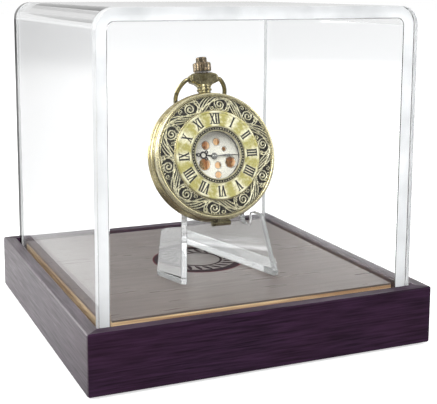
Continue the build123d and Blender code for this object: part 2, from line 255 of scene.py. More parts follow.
def plain_copy(solid, name):
    source = nodes[solid]
    mesh = source.data.copy()
    mesh.name = name
    mesh.materials.clear()
    mesh.transform(source.matrix_world)
    work = bmesh.new()
    work.from_mesh(mesh)
    bmesh.ops.remove_doubles(work, verts=work.verts, dist=COPY_MERGE)
    flat = math.radians(1)
    bmesh.ops.dissolve_limit(work, angle_limit=flat, verts=work.verts, edges=work.edges)
    work.to_mesh(mesh)
    work.free()
    piece = bpy.data.objects.new(name, mesh)
    bpy.context.scene.collection.objects.link(piece)
    return piece


def baked(piece):
    view = bpy.context.evaluated_depsgraph_get()
    mesh = bpy.data.meshes.new_from_object(piece.evaluated_get(view))
    piece.modifiers.clear()
    piece.data = mesh
    return piece


# %% Bevelled and softened copies
def round_edges(piece, width, segments=2, angle=30):
    bevel = piece.modifiers.new("Bevel", "BEVEL")
    bevel.width = width * MM
    bevel.segments = segments
    bevel.limit_method = "ANGLE"
    bevel.angle_limit = math.radians(angle)
    baked(piece)
    finish_mesh(piece.data, 50)
    weighted = piece.modifiers.new("Weighted normals", "WEIGHTED_NORMAL")
    weighted.mode = "FACE_AREA"
    weighted.weight = 100
    weighted.keep_sharp = True
    return baked(piece)


def bevelled(solid, name, width):
    return round_edges(plain_copy(solid, name), width)


def softened(solid, name, voxel, rounds):
    piece = plain_copy(solid, name)
    remesh = piece.modifiers.new("Remesh", "REMESH")
    remesh.mode = "VOXEL"
    remesh.voxel_size = voxel * MM
    smooth = piece.modifiers.new("Smooth", "SMOOTH")
    smooth.factor = 0.5
    smooth.iterations = rounds
    baked(piece)
    finish_mesh(piece.data, 60)
    return piece


# %% [markdown]
# ## Dressing a piece
# A new piece needs a material, a body to ride on and the names of the solids it stands
# for. A solid that stays only needs its material.

# %% Dress and paint
def dress(piece, material, body, slot, *stands_for):
    piece.data.materials.clear()
    piece.data.materials.append(material)
    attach(piece, body)
    if stands_for:
        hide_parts(*stands_for)
    print(f"{piece.name}: {len(piece.data.polygons)} faces, rides on {body}")


def paint(material, *names):
    for name in names:
        piece = nodes[name]
        if not piece.material_slots:
            piece.data.materials.append(material)
        for place in piece.material_slots:
            place.material = material
    print(f"{material.name}: on", ", ".join(names))


# %% [markdown]
# ## Ring array
# A watch is full of things that repeat round a centre: beads, scrolls and strands.
# The Array modifier needs a helper object for that. A Geometry Nodes tree needs none, and its
# count is one named input. It spins a copy per point, then realizes the copies, because the
# export keeps only real geometry.

# %% Ring array tree
def ring_tree():
    tree = bpy.data.node_groups.new("Ring array", "GeometryNodeTree")
    face = tree.interface
    face.new_socket("Geometry", in_out="INPUT", socket_type="NodeSocketGeometry")
    face.new_socket("Count", in_out="INPUT", socket_type="NodeSocketInt")
    face.new_socket("Material", in_out="INPUT", socket_type="NodeSocketMaterial")
    face.new_socket("Geometry", in_out="OUTPUT", socket_type="NodeSocketGeometry")
    add = tree.nodes.new
    inside = add("NodeGroupInput")
    line = add("GeometryNodeMeshLine")
    line.inputs["Offset"].default_value = (0, 0, 0)
    index = add("GeometryNodeInputIndex")
    step = add("ShaderNodeMath")
    step.operation = "DIVIDE"
    step.inputs[0].default_value = 2 * math.pi
    angle = add("ShaderNodeMath")
    angle.operation = "MULTIPLY"
    spin = add("ShaderNodeCombineXYZ")
    copies = add("GeometryNodeInstanceOnPoints")
    real = add("GeometryNodeRealizeInstances")
    coat = add("GeometryNodeSetMaterial")
    outside = add("NodeGroupOutput")
    join = tree.links.new
    join(inside.outputs["Count"], line.inputs["Count"])
    join(inside.outputs["Count"], step.inputs[1])
    join(index.outputs[0], angle.inputs[0])
    join(step.outputs[0], angle.inputs[1])
    join(angle.outputs[0], spin.inputs["Z"])
    join(line.outputs[0], copies.inputs["Points"])
    join(inside.outputs["Geometry"], copies.inputs["Instance"])
    join(spin.outputs[0], copies.inputs["Rotation"])
    join(copies.outputs[0], real.inputs[0])
    join(real.outputs[0], coat.inputs["Geometry"])
    join(inside.outputs["Material"], coat.inputs["Material"])
    join(coat.outputs[0], outside.inputs[0])
    return tree


RING = ring_tree()
print("ring array nodes:", len(RING.nodes))


# %% Use the ring array
def ring_of(name, shapes, count, material, place=WATCH, angle=40):
    piece = make(name, shapes, Matrix.Identity(4), angle)
    array = piece.modifiers.new("Ring array", "NODES")
    array.node_group = RING
    inputs = [s for s in RING.interface.items_tree if s.in_out == "INPUT"]
    keys = {s.name: s.identifier for s in inputs}
    array[keys["Count"]] = count
    array[keys["Material"]] = material
    baked(piece)
    piece.data.transform(place)
    finish_mesh(piece.data, angle)
    return piece


# %% [markdown]
# ## Materials
# Wood, brass and plastic never have one flat colour. Painted image textures could show that,
# but they need files. Here noise textures on Object coordinates vary the colour, the roughness
# and the bump of a Principled shader, at the real scale and from every side.

# %% Material and node helpers
def new_material(name, color=(0.5, 0.5, 0.5), rough=0.5, metal=0.0, **inputs):
    material = bpy.data.materials.new(name)
    material.use_nodes = True
    tree = material.node_tree
    tree.nodes.clear()
    out = tree.nodes.new("ShaderNodeOutputMaterial")
    shader = tree.nodes.new("ShaderNodeBsdfPrincipled")
    shader.inputs["Base Color"].default_value = (*color, 1)
    shader.inputs["Roughness"].default_value = rough
    shader.inputs["Metallic"].default_value = metal
    for key, value in inputs.items():
        shader.inputs[key.replace("_", " ")].default_value = value
    tree.links.new(shader.outputs[0], out.inputs[0])
    print("material:", name)
    return material, tree, shader


def node(tree, kind, settings=None, **inputs):
    new = tree.nodes.new(kind)
    for key, value in (settings or {}).items():
        setattr(new, key, value)
    for key, value in inputs.items():
        numbered = key[0] == "i" and key[1:].isdigit()
        socket = new.inputs[int(key[1:]) if numbered else key.replace("_", " ")]
        if isinstance(value, bpy.types.NodeSocket):
            tree.links.new(value, socket)
        else:
            socket.default_value = value
    return new


# %% [markdown]
# A Mapping node sets a pattern's scale: a scale of 1000 counts noise in millimetres, and a
# larger number along one axis squeezes the pattern there. `watch_coords` also centres and
# turns the pattern to the dial.

# %% Pattern coordinates
def box_coords(tree, scale=(1000, 1000, 1000)):
    coords = node(tree, "ShaderNodeTexCoord")
    kind = {"vector_type": "POINT"}
    mapping = node(tree, "ShaderNodeMapping", kind, Vector=coords.outputs["Object"])
    mapping.inputs["Scale"].default_value = scale
    return mapping.outputs[0]


def watch_coords(tree):
    coords = node(tree, "ShaderNodeTexCoord")
    kind = {"vector_type": "TEXTURE"}
    mapping = node(tree, "ShaderNodeMapping", kind, Vector=coords.outputs["Object"])
    mapping.inputs["Location"].default_value = DIAL_CENTRE
    mapping.inputs["Rotation"].default_value = WATCH.to_3x3().normalized().to_euler()
    mapping.inputs["Scale"].default_value = (MM, MM, MM)
    return mapping.outputs[0]


# %% Pattern helpers
def math_node(tree, operation, a, b=0.0, clamp=False):
    settings = {"operation": operation, "use_clamp": clamp}
    return node(tree, "ShaderNodeMath", settings, i0=a, i1=b).outputs[0]


def mix_color(tree, factor, a, b):
    mix = node(tree, "ShaderNodeMix", {"data_type": "RGBA"})
    for socket, value in ((mix.inputs[0], factor), (mix.inputs[6], a), (mix.inputs[7], b)):
        if isinstance(value, bpy.types.NodeSocket):
            tree.links.new(value, socket)
        else:
            socket.default_value = value if isinstance(value, (int, float)) else (*value, 1)
    return mix.outputs[2]


def noise(tree, vector, scale, detail=3.0, rough=0.5):
    inputs = {"Vector": vector, "Scale": scale, "Detail": detail, "Roughness": rough}
    return node(tree, "ShaderNodeTexNoise", **inputs).outputs["Fac"]


def ranged(tree, value, low, high, to_low=0.0, to_high=1.0):
    inputs = {"From_Min": low, "From_Max": high, "To_Min": to_low, "To_Max": to_high}
    return node(tree, "ShaderNodeMapRange", Value=value, **inputs).outputs[0]


def distance_from_axis(tree, vector):
    split = node(tree, "ShaderNodeSeparateXYZ", Vector=vector)
    across = math_node(tree, "MULTIPLY", split.outputs[0], split.outputs[0])
    along = math_node(tree, "MULTIPLY", split.outputs[1], split.outputs[1])
    return math_node(tree, "SQRT", math_node(tree, "ADD", across, along))


# %% [markdown]
# These helpers feed a pattern into the shader. `two_tone` blends two colours, `uneven_gloss`
# moves the roughness between two values, and `bump` turns a pattern into fine relief.

# %% Feeding the shader
def feed(tree, socket_from, shader, name):
    tree.links.new(socket_from, shader.inputs[name])


def two_tone(tree, shader, pattern, low, high, first, second):
    color = mix_color(tree, ranged(tree, pattern, low, high), first, second)
    feed(tree, color, shader, "Base Color")


def uneven_gloss(tree, shader, pattern, low, high, rough_low, rough_high):
    feed(tree, ranged(tree, pattern, low, high, rough_low, rough_high), shader, "Roughness")


def bump(tree, shader, height, strength, distance):
    out = node(tree, "ShaderNodeBump", Strength=strength, Distance=distance, Height=height)
    feed(tree, out.outputs[0], shader, "Normal")


def mix_shader(tree, factor, first, second):
    mix = node(tree, "ShaderNodeMixShader", i0=factor)
    tree.links.new(first.outputs[0], mix.inputs[1])
    tree.links.new(second.outputs[0], mix.inputs[2])
    return mix


# %% [markdown]
# ### Stained wood
# The base is veneered and stained nearly black, with violet and red left in it and darker
# pores along the grain. The grain could be painted on one plank and turned with each rail.
# Object coordinates don't turn with a rail, so the rails that run front to back have their
# own mapping. Their polish is a little higher, because their sides catch a grey glare, and
# their colour is the stain painted lighter and greyer: painted glare, not a different wood.

# %% Wood materials
STAIN = (0.022, 0.0085, 0.023)
# The side rails' tone is the same stain painted lighter and greyer: painted glare.
SIDE_STAIN_AND_PAINTED_GLARE = (0.046, 0.032, 0.044)
PORE_DARKER, WEAR_LIGHTER = 0.42, 1.75
RED_SHARE = 0.35


def dark_wood(name, along_x, tone=STAIN, rough=0.36, spec=0.12):
    material, tree, shader = new_material(name, rough=rough, Specular_IOR_Level=spec)
    streak_scale = (60, 900, 1500) if along_x else (900, 60, 1500)
    streak = noise(tree, box_coords(tree, streak_scale), 1.0, 4.0, 0.6)
    cloud = noise(tree, box_coords(tree, (25, 25, 60)), 1.0, 2.0)
    pores = tuple(c * PORE_DARKER for c in tone)
    light = tuple(min(1, c * WEAR_LIGHTER) for c in tone)
    reddish = (tone[0] * 1.3, tone[1] * 0.95, tone[2])
    base = mix_color(tree, ranged(tree, streak, 0.36, 0.66), pores, light)
    red = mix_color(tree, ranged(tree, cloud, 0.35, 0.7), base, reddish)
    feed(tree, mix_color(tree, RED_SHARE, base, red), shader, "Base Color")
    uneven_gloss(tree, shader, streak, 0.3, 0.7, rough + 0.08, rough - 0.05)
    bump(tree, shader, streak, 0.35, 0.00008)
    return material


wood_x = dark_wood("Dark stained veneer along X", True)
# The rails along Y take the lighter tone, painted glare, and a higher polish.
wood_y = dark_wood("Dark stained veneer along Y with painted glare", False, SIDE_STAIN_AND_PAINTED_GLARE, rough=0.32, spec=0.85)
wood_under = dark_wood("Dark stained board", True, rough=0.6)

# %% [markdown]
# The platform's sawn edge shows bare plywood: thin pale and brown layers, one over another.
# Noise squeezed along Z gives the layers without modelling a sheet for each. The pads under
# the base are soft, matt rubber.

# %% Plywood edge and pads
ply, tree, shader = new_material("Bare plywood edge", rough=0.6)
layers = noise(tree, box_coords(tree, (30, 30, 900)), 1.0, 2.0)
two_tone(tree, shader, layers, 0.35, 0.65, (0.34, 0.20, 0.10), (0.74, 0.55, 0.32))

rubber, tree, shader = new_material("Soft pad", color=(0.03, 0.03, 0.032), rough=0.85)
uneven_gloss(tree, shader, noise(tree, box_coords(tree), 1.5), 0, 1, 0.75, 0.95)

# %% [markdown]
# The platform's veneer is greyer than the rails and has a satin polish that mirrors the room.
# Its grain runs left to right, with broad cloudy patches over it.

# %% Platform veneer
platform, tree, shader = new_material("Platform veneer", rough=0.3, Specular_IOR_Level=0.45)
grain = noise(tree, box_coords(tree, (40, 500, 500)), 1.0, 4.0, 0.6)
cloud = noise(tree, box_coords(tree, (14, 30, 30)), 1.0, 2.0)
tan_mask = ranged(tree, grain, 0.35, 0.66)
tan = mix_color(tree, tan_mask, (0.094, 0.076, 0.069), (0.132, 0.108, 0.095))
two_tone(tree, shader, cloud, 0.35, 0.7, tan, (0.085, 0.064, 0.056))
uneven_gloss(tree, shader, grain, 0.3, 0.7, 0.36, 0.26)
bump(tree, shader, grain, 0.12, 0.00005)


# %% [markdown]
# A ring of dark inlay lies in the platform, with a thin red line round it. Both are matt and
# slightly mottled, as dyed wood is.

# %% Inlay materials
def dyed_inlay(name, first, second, rough):
    material, tree, shader = new_material(name, rough=rough, Specular_IOR_Level=0.1)
    mottle = noise(tree, box_coords(tree), 0.8, 3.0)
    two_tone(tree, shader, mottle, 0.35, 0.7, first, second)
    return material


inlay = dyed_inlay("Dark inlay", (0.008, 0.005, 0.007), (0.03, 0.012, 0.016), 0.8)
inlay_red = dyed_inlay("Red inlay edge", (0.10, 0.006, 0.012), (0.05, 0.006, 0.010), 0.7)


# %% [markdown]
# ### Aged metal
# Gilt brass dulls unevenly: worn places stay bright, and hollows turn olive and rougher.
# Edge wear could be painted by hand. A cloud of noise for the tarnish, used for the colour and
# the roughness together, gives the same story on every part of the watch.

# %% Metal recipe
CLOUD_SHARE = 0.75
TARNISH_ROUGHER = 0.16


def brass(name, bright, dull, rough, amount=(0.42, 0.66), scale=0.35, metal=1.0):
    material, tree, shader = new_material(name, rough=rough, metal=metal)
    where = watch_coords(tree)
    cloud = noise(tree, where, scale, 4.0, 0.6)
    fine = noise(tree, where, scale * 9, 2.0)
    broad_share = math_node(tree, "MULTIPLY", cloud, CLOUD_SHARE)
    fine_share = math_node(tree, "MULTIPLY", fine, 1 - CLOUD_SHARE)
    tarnish = ranged(tree, math_node(tree, "ADD", broad_share, fine_share), *amount)
    feed(tree, mix_color(tree, tarnish, bright, dull), shader, "Base Color")
    rougher = math_node(tree, "MULTIPLY", tarnish, TARNISH_ROUGHER)
    feed(tree, math_node(tree, "ADD", rougher, rough - 0.04), shader, "Roughness")
    bump(tree, shader, fine, 0.05, 0.00003)
    return material


# %% [markdown]
# The case is bright gilt, the bow and the pendant are duller, and the crown is dark bronze.
# On the lid the relief is polished against a blackened ground, which makes it readable.

# %% Case and lid metals
case_gilt = brass("Aged gilt case", (0.64, 0.56, 0.31), (0.28, 0.23, 0.10), 0.2)
bow_gilt = brass("Aged gilt bow", (0.44, 0.39, 0.22), (0.13, 0.11, 0.05), 0.22)
crown_gilt = brass("Dark bronze crown", (0.36, 0.29, 0.20), (0.04, 0.028, 0.016), 0.22)
scroll_gilt = brass(
    "Polished relief", (0.80, 0.77, 0.58), (0.44, 0.41, 0.25), 0.3, (0.5, 0.78), metal=0.72
)
ground_dark = brass(
    "Blackened ground", (0.022, 0.020, 0.014), (0.008, 0.007, 0.005), 0.55, scale=1.2, metal=0.5
)
rim_gilt = brass(
    "Polished border", (0.72, 0.66, 0.42), (0.44, 0.38, 0.20), 0.22, (0.48, 0.75), metal=0.85
)
bead_gilt = brass("Pale beads", (0.74, 0.71, 0.55), (0.5, 0.46, 0.3), 0.3)

# %% [markdown]
# The movement's plate glows peach through the dial's openings. It lies deep behind glass, so
# a faint emission stands in for the light that is scattered in there. Wheels and bridge are
# yellower gilt, the hands and the small parts are steel or black.

# %% Movement and hand metals
plate_brass = brass(
    "Peach gilt plate", (0.98, 0.66, 0.40), (0.92, 0.56, 0.26), 0.38, scale=0.2, metal=0.25
)
plate_shader = plate_brass.node_tree.nodes["Principled BSDF"]
plate_shader.inputs["Emission Color"].default_value = (1.0, 0.58, 0.28, 1)
plate_shader.inputs["Emission Strength"].default_value = 0.16
bridge_brass = brass("Gilt bridge", (0.86, 0.66, 0.32), (0.70, 0.50, 0.22), 0.34)
wheel_brass = brass("Gilt wheel", (0.93, 0.70, 0.30), (0.78, 0.54, 0.2), 0.24)
steel = brass("Polished steel", (0.78, 0.78, 0.80), (0.62, 0.62, 0.64), 0.22)
hand_steel = brass("Pale steel hand", (0.86, 0.86, 0.84), (0.68, 0.68, 0.66), 0.25)
hand_black = brass("Black hand", (0.018, 0.018, 0.022), (0.03, 0.028, 0.03), 0.3, metal=0.2)
ink = brass("Black enamel", (0.012, 0.012, 0.010), (0.03, 0.028, 0.022), 0.42, metal=0.0)

# %% [markdown]
# The numeral plate is mottled: a pale worn patch behind each hour, olive gold between them.
# Twelve painted spots would look stamped. The angle round the dial, times twelve, gives the
# patches as a wave, and noise added to the wave breaks their edges.

# %% Numeral plate
HOURS = 12
numeral_gold, tree, shader = new_material("Mottled numeral plate", rough=0.34, metal=0.35)
where = watch_coords(tree)
split = node(tree, "ShaderNodeSeparateXYZ", Vector=where)
around = math_node(tree, "ARCTAN2", split.outputs[1], split.outputs[0])
wave = math_node(tree, "COSINE", math_node(tree, "MULTIPLY", around, HOURS))
mottle = noise(tree, where, 0.9, 3.0, 0.6)
speck = noise(tree, where, 7.0, 2.0)
patch = math_node(tree, "ADD", math_node(tree, "MULTIPLY", wave, 0.22), mottle)
patch_mask = ranged(tree, patch, 0.3, 0.72)
tone = mix_color(tree, patch_mask, (0.44, 0.40, 0.12), (0.92, 0.89, 0.66))
speck_mask = ranged(tree, speck, 0.42, 0.75, 0, 0.5)
feed(tree, mix_color(tree, speck_mask, tone, (0.26, 0.23, 0.10)), shader, "Base Color")
uneven_gloss(tree, shader, speck, 0.3, 0.7, 0.28, 0.42)
bump(tree, shader, speck, 0.12, 0.00004)

# %% [markdown]
# The minute track is a gilt ring with a blackened groove, in which the beads stand. The
# groove's colour is chosen by the distance from the dial's centre, so its edge stays exact
# without a separate ring of mesh.

# %% Minute track
TRACK_MIDDLE = 9.4
GROOVE_HALF = 0.47
track, tree, shader = new_material("Minute track", rough=0.32, metal=0.9)
where = watch_coords(tree)
reach = distance_from_axis(tree, where)
off_middle = math_node(tree, "ABSOLUTE", math_node(tree, "SUBTRACT", reach, TRACK_MIDDLE))
groove = math_node(tree, "LESS_THAN", off_middle, GROOVE_HALF)
speck = noise(tree, where, 5.0, 2.0)
speck_mask = ranged(tree, speck, 0.35, 0.7)
gilt = mix_color(tree, speck_mask, (0.84, 0.79, 0.54), (0.55, 0.5, 0.3))
feed(tree, mix_color(tree, groove, gilt, (0.02, 0.019, 0.015)), shader, "Base Color")
less_metal = math_node(tree, "MULTIPLY", groove, 0.7)
feed(tree, math_node(tree, "SUBTRACT", 0.9, less_metal), shader, "Metallic")

# %% [markdown]
# ### Dial
# Silvered white, warm and slightly grainy. Like the plate, it lies behind two glasses and
# keeps a faint glow for the light scattered there.

# %% Dial material
dial_white, tree, shader = new_material("Silvered dial", rough=0.42, Emission_Strength=0.12)
shader.inputs["Emission Color"].default_value = (1.0, 0.93, 0.78, 1)
speck = noise(tree, watch_coords(tree), 4.0, 2.0)
two_tone(tree, shader, speck, 0.3, 0.8, (1.0, 0.98, 0.90), (0.97, 0.94, 0.84))
uneven_gloss(tree, shader, speck, 0.2, 0.8, 0.36, 0.5)


# %% [markdown]
# ### Clear plastic and glass
# Real acrylic bends light and casts almost no shadow. A Principled shader with full
# transmission bends it, but its shadow would be nearly black without slow caustics. So Light
# Path's Is Shadow Ray swaps in a Transparent shader, and what stands behind the acrylic is lit
# as it is in the open. A faint haze in the roughness keeps the sheet from looking perfect.

# %% Clear materials
def clear(name, color, rough, ior, haze_low, haze_high, weight=1.0):
    material, tree, shader = new_material(
        name, color=color, rough=rough, Transmission_Weight=weight, IOR=ior
    )
    haze = noise(tree, box_coords(tree), 0.12, 3.0)
    uneven_gloss(tree, shader, haze, 0.35, 0.75, haze_low, haze_high)
    rays = node(tree, "ShaderNodeLightPath")
    through = node(tree, "ShaderNodeBsdfTransparent", Color=(0.97, 0.975, 0.97, 1))
    mix = mix_shader(tree, rays.outputs["Is Shadow Ray"], shader, through)
    tree.links.new(mix.outputs[0], tree.nodes["Material Output"].inputs[0])
    return material


acrylic = clear("Clear acrylic", (0.984, 0.987, 0.989), 0.0, 1.49, 0.0, 0.012)
easel_clear = clear("Clear moulded easel", (0.96, 0.97, 0.97), 0.02, 1.49, 0.01, 0.06, 0.93)
watch_glass = clear("Watch glass", (0.99, 0.99, 0.985), 0.0, 1.5, 0.0, 0.006)

frost, tree, shader = new_material("Frosted seam", rough=0.6)
cloudy = noise(tree, box_coords(tree, (60, 60, 60)), 1.0, 3.0)
two_tone(tree, shader, cloudy, 0.3, 0.7, (0.70, 0.71, 0.72), (0.50, 0.51, 0.52))
print("materials:", len(bpy.data.materials))

# %% [markdown]
# ## Base
# Four mitred rails frame a raised platform of veneered plywood, over a board with four pads.
# These are plain flat shapes, so the CAD solids stay and only get their materials.

# %% Base materials on CAD solids
paint(wood_x, "base_rail_front", "base_rail_back")
paint(wood_y, "base_rail_left", "base_rail_right")
paint(wood_under, "base_bottom")
paint(ply, "platform_core")
paint(platform, "platform_veneer")
paint(rubber, "bumper_feet")

# %% [markdown]
# The inlay is a flat ring with a rope twist of short slanted strokes inside it. It could be
# painted in the veneer's material, but thin pieces a hair above the veneer keep crisp edges.
# One stroke is drawn, and the ring array repeats it.

# %% Inlaid ring
VENEER_TOP = 20.4
INLAY = BOX @ Matrix.Translation((0, 2, VENEER_TOP))
INLAY_RISE = 0.04
STRANDS = 22


def flat_ring(inner, outer, high):
    return lathe([(inner, 0.0), (outer, 0.0), (outer, high), (inner, high)], 128)


bands = [flat_ring(13.6, 16.3, INLAY_RISE), flat_ring(8.0, 8.9, INLAY_RISE)]
dress(make("Inlay_ring", bands, INLAY), inlay, "base", "dark_wood")
red_line = make("Inlay_red_edge", [flat_ring(16.3, 16.8, 0.035)], INLAY)
dress(red_line, inlay_red, "base", "dark_wood")
strand_outline = [(9.0, -0.9), (10.4, -0.6), (12.6, 0.6), (13.8, 2.1), (12.1, 1.9), (10.0, 0.7)]
strand = prism(strand_outline, 0.0, INLAY_RISE)
twist = ring_of("Inlay_twist", [strand], STRANDS, inlay, INLAY)
dress(twist, inlay, "base", "dark_wood")

# %% [markdown]
# ## Cover
# The real cover is one sheet bent over left side, top and right side, with flat panels
# cemented in at the front and the back. Three clear solids touching each other would trap
# light between their faces. So the cover is one shell here: an outer rounded block less an
# inner one, open underneath.

# %% Cover profile
COVER_LOW, COVER_TOP, COVER_HALF = 12.5, 114.1, 54.6
SHEET = 4.0
BEND = 6.5
BEND_STEPS = 16


def cover_profile(inset):
    side, top, radius = COVER_HALF - inset, COVER_TOP - inset, BEND - inset
    outline = [(-side, COVER_LOW)]
    for centre, start in ((-side + radius, 180), (side - radius, 90)):
        for k in range(BEND_STEPS + 1):
            a = math.radians(start - 90 * k / BEND_STEPS)
            outline.append((centre + radius * math.cos(a), top - radius + radius * math.sin(a)))
    outline.append((side, COVER_LOW))
    return outline


# %% Cover shell
def standing(outline, y):
    return [(x, y, z) for x, z in outline]


def cover_shell():
    outer, inner = cover_profile(0), cover_profile(SHEET)
    count = len(outer)
    points = standing(outer, -COVER_HALF) + standing(outer, COVER_HALF)
    points += standing(inner, -COVER_HALF + SHEET) + standing(inner, COVER_HALF - SHEET)
    faces = []
    for base in (0, 2 * count):
        far = base + count
        faces += [(base + i, base + i + 1, far + i + 1, far + i) for i in range(count - 1)]
        faces += [tuple(base + i for i in range(count)), tuple(far + i for i in range(count))]
    last, third, fourth = count - 1, 2 * count, 3 * count
    faces += [(0, last, third + last, third), (count, count + last, fourth + last, fourth)]
    faces += [(0, count, fourth, third), (last, count + last, fourth + last, third + last)]
    return points, faces


cover = make("Acrylic_cover", [cover_shell()], BOX, 25)
round_edges(cover, 0.3, 3, 40)
dress(cover, acrylic, "cover", "clear_acrylic", "cover_bend", "cover_front", "cover_back")

# %% [markdown]
# Where the bent sheet's sawn ends are cemented to the flat panels, the joint scatters light
# and shows as a pale band. A rough patch in the clear material would need a mask on the inner
# face. A thin frosted strip at each end of the sheet, inside the shell, is simpler and reads
# the same from both sides.

# %% Cover seams
SEAM_HALF = 0.05
SEAM_INSET = 0.12


def seam(y):
    low = COVER_LOW + 0.2
    outer = [(x, max(z, low)) for x, z in cover_profile(SEAM_INSET)]
    inner = [(x, max(z, low)) for x, z in cover_profile(SHEET - SEAM_INSET)]
    count = len(outer)
    points = []
    for level in (y - SEAM_HALF, y + SEAM_HALF):
        points += standing(outer, level) + standing(inner, level)
    faces = []
    for i in range(count - 1):
        for a, b in ((0, 1), (2, 3), (0, 2), (1, 3)):
            first, second = a * count + i, b * count + i
            faces.append((first, first + 1, second + 1, second))
    for i in (0, count - 1):
        faces.append((i, count + i, 3 * count + i, 2 * count + i))
    return points, faces


seams = make("Cover_seams", [seam(-COVER_HALF + SHEET), seam(COVER_HALF - SHEET)], BOX, 25)
dress(seams, frost, "cover", "clear_acrylic")

# %% [markdown]
# ## Easel
# The easel is one clear moulding of two wings that meet at a spine. A mould leaves small radii
# on its edges, and they are what the eye sees of a clear part. The CAD shape is right, so a
# bevelled copy is enough.

# %% Easel
easel = bevelled("watch_stand", "Clear_easel", 0.22)
dress(easel, easel_clear, "stand", "clear_stand", "watch_stand")

# %% [markdown]
# ## Watch case
# The case's band shows two rounded beads with a fine groove between them. The profile could be
# a circle with a bevel, but a lathe profile with a sine swell gives each bead its own width.

# %% Watch band
BAND_EDGE, BAND_SWELL = 22.45, 0.75


def swollen(low, high, steps=9):
    out = []
    for k in range(steps + 1):
        t = k / steps
        swell = BAND_SWELL * math.sin(math.pi * t) ** 0.75
        out.append((BAND_EDGE + swell, low + (high - low) * t))
    return out


band_profile = [(20.2, -3.6)] + swollen(-3.55, -0.6) + swollen(-0.3, 2.65)
band_profile += [(21.0, 2.7), (20.75, 3.1), (20.5, 3.55), (20.3, 3.7), (20.2, 3.6)]
band = make("Watch_band", [lathe(band_profile, 200)], angle=50)
dress(band, case_gilt, "watch", "case_gold", "case_middle")

# %% [markdown]
# The hinge at six has three knuckles on one pin: two on the case, one on the lid. Each is a
# short tube with a web to its body. They are drawn apart, so the lid's knuckle turns with the
# lid and nothing tears.

# %% Hinge knuckles on the case
HINGE_Y, HINGE_Z = -23.9, 2.8
KNUCKLE_RADIUS = 0.9
WEB_END = -22.2


def rod(radius, left, right, y, z):
    steps = 32
    ring = circle(radius, steps)
    points = [(left, y + a, z + b) for a, b in ring] + [(right, y + a, z + b) for a, b in ring]
    return points, skin(2, steps) + caps(2, steps)


def knuckle(left, right, low, high):
    barrel = rod(KNUCKLE_RADIUS, left, right, HINGE_Y, HINGE_Z)
    return [barrel, cuboid((left, HINGE_Y, low), (right, WEB_END, high))]


case_knuckles = knuckle(-3.5, -1.62, 1.9, 2.66) + knuckle(1.62, 3.5, 1.9, 2.66)
dress(make("Hinge_knuckles", case_knuckles, angle=50), bow_gilt, "watch", "case_gold")
paint(case_gilt, "hinge_pin")

# %% [markdown]
# The back is a shallow spun dish. Its corners are eased, so it reflects the room as one smooth
# sweep.

# %% Watch back
back_profile = [(0.01, -6.6), (12.0, -6.55), (22.45, -4.35), (22.6, -3.6), (0.01, -3.6)]
back = make("Watch_back", [lathe(eased(back_profile, 2.0, 6), 160)], angle=50)
dress(back, case_gilt, "watch", "case_gold", "case_back")

# %% [markdown]
# The pendant is a cast bulb on a neck, with an ear on each side for the bow. Building that
# from smooth surfaces is slow work. The CAD solid already has the masses and the bores, so a
# copy is remeshed and smoothed until it flows. Two turned collars ring the neck.

# %% Pendant
VOXEL, SMOOTH_ROUNDS = 0.14, 9
pendant = softened("pendant", "Pendant", VOXEL, SMOOTH_ROUNDS)
dress(pendant, bow_gilt, "watch", "case_gold", "pendant")
lower_collar = eased([(2.25, 23.9), (2.75, 24.0), (2.75, 24.7), (2.25, 24.8)], 0.3, 4)
upper_collar = eased([(2.2, 25.1), (2.6, 25.2), (2.6, 25.7), (2.2, 25.8)], 0.25, 4)
turned_collars = [lathe(lower_collar, 64, "Y"), lathe(upper_collar, 64, "Y")]
collars = make("Neck_collars", turned_collars, angle=60)
dress(collars, bow_gilt, "watch", "case_gold")

# %% [markdown]
# ## Crown
# The winding crown has two fluted tiers, so that fingers grip it. Cutting flutes with booleans
# leaves messy edges. A star-shaped section, drawn flute by flute and drawn in a little at the
# top and the bottom, gives clean facets.

# %% Crown
FLUTE_PARTS = (0.0, 0.28, 0.5, 0.72)
FLUTE_CREST = 0.06
TIER_EASE = 0.25


def crown_tier(count, inner, outer, low, high):
    radii = (inner, outer, outer + FLUTE_CREST, outer)
    section = []
    for k in range(count):
        for part, radius in zip(FLUTE_PARTS, radii):
            a = 2 * math.pi * (k + part) / count
            section.append((radius * math.cos(a), radius * math.sin(a)))
    levels = [(low, 0.90), (low + TIER_EASE, 1.0), (high - TIER_EASE, 1.0), (high, 0.88)]
    points = []
    for h, s in levels:
        points += [(x * s, h, z * s + STEM_Z) for x, z in section]
    ring = len(section)
    return points, skin(len(levels), ring) + caps(len(levels), ring)


crown_foot = eased([(0.01, 31.1), (2.6, 31.1), (2.8, 31.5), (0.01, 31.6)], 0.2, 2)
crown_parts = [
    crown_tier(22, 2.95, 3.24, 31.15, 34.35),
    crown_tier(14, 1.7, 1.94, 34.4, 36.35),
    lathe(crown_foot, 48, "Y"),
]
crown = make("Fluted_crown", crown_parts, angle=30)
dress(crown, crown_gilt, "crown", "case_gold", "crown")
paint(steel, "winding_stem")
paint(bow_gilt, "stem_sleeve")

# %% [markdown]
# ## Bow
# The bow is a ring of round wire whose ends turn inwards into the pendant's ears. It hangs
# behind the crown at rest. The path is most of a circle with two short straight ends, drawn
# flat and then swung about its pins to the resting angle.

